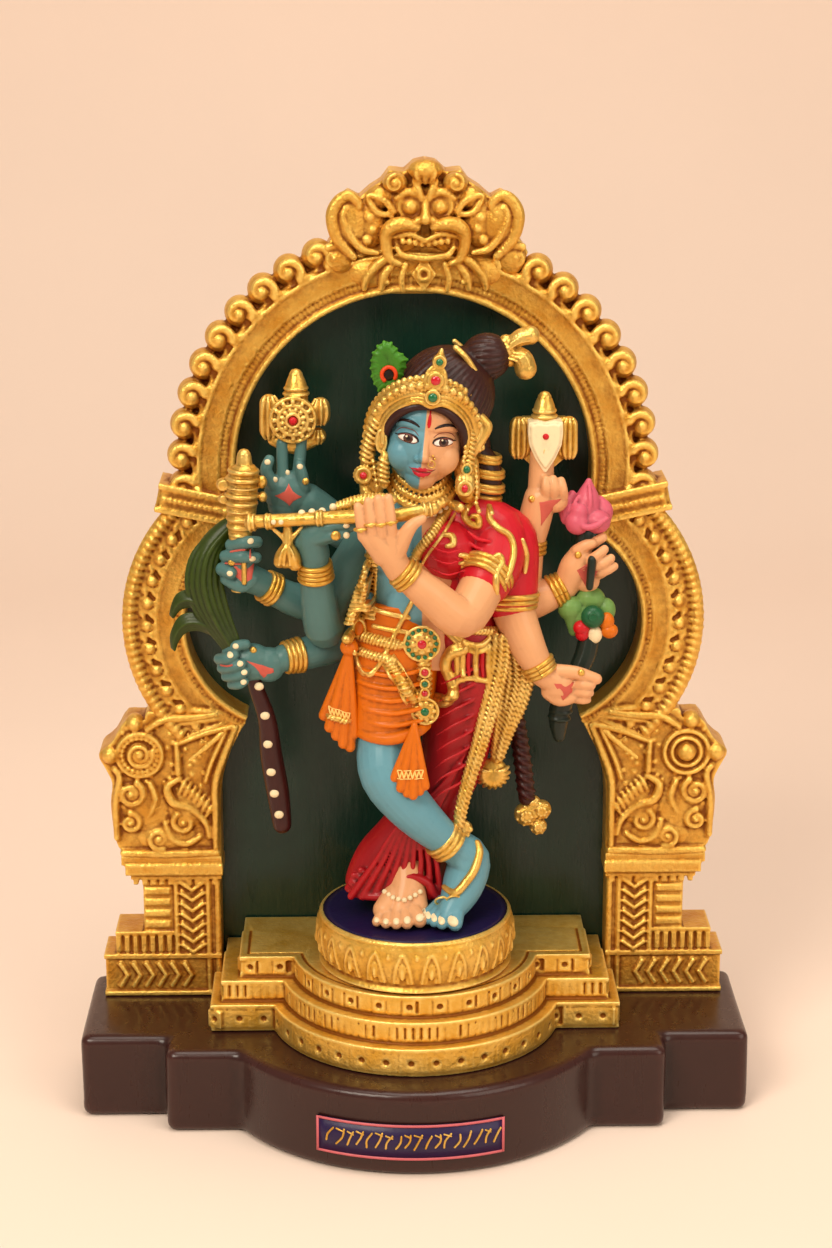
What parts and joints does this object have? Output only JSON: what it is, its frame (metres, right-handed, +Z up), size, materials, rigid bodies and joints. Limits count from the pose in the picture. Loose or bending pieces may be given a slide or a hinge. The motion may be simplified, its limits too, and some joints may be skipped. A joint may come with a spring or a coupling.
{
  "type": "krishna golu doll",
  "caption": "Painted doll of a crossed-leg flute player with many arms on a lotus seat and tiered plinth, before a scrolled gilt arch with a green panel, on a stepped dark base.",
  "frame": {"origin": "centre of the underside of the base, as a box around the doll gives it", "axes": "+Z up, +Y towards the back of the arch, +X to the viewer's right; the figure faces -Y"},
  "size_m": [0.254, 0.111, 0.358],
  "materials": {
    "stepped_base": "dark brown gloss lacquer over wood",
    "tiered_plinth": "antique gold paint, darker in the recesses",
    "lotus_seat": "gold paint with a deep indigo top",
    "eight_armed_figure": "hand-painted casting: blue and peach skin, orange and crimson cloth, gold ornaments",
    "arch_with_panel": "antique gold paint on the frame, dark green gloss on the panel",
    "name_plate": "printed plate, navy with a pink border"
  },
  "bodies": {
    "root": {"stepped_base": "stepped_base", "tiered_plinth": "tiered_plinth", "lotus_seat": "lotus_seat", "eight_armed_figure": "eight_armed_figure", "arch_with_panel": "arch_with_panel", "name_plate": "name_plate"}
  },
  "joints": []
}
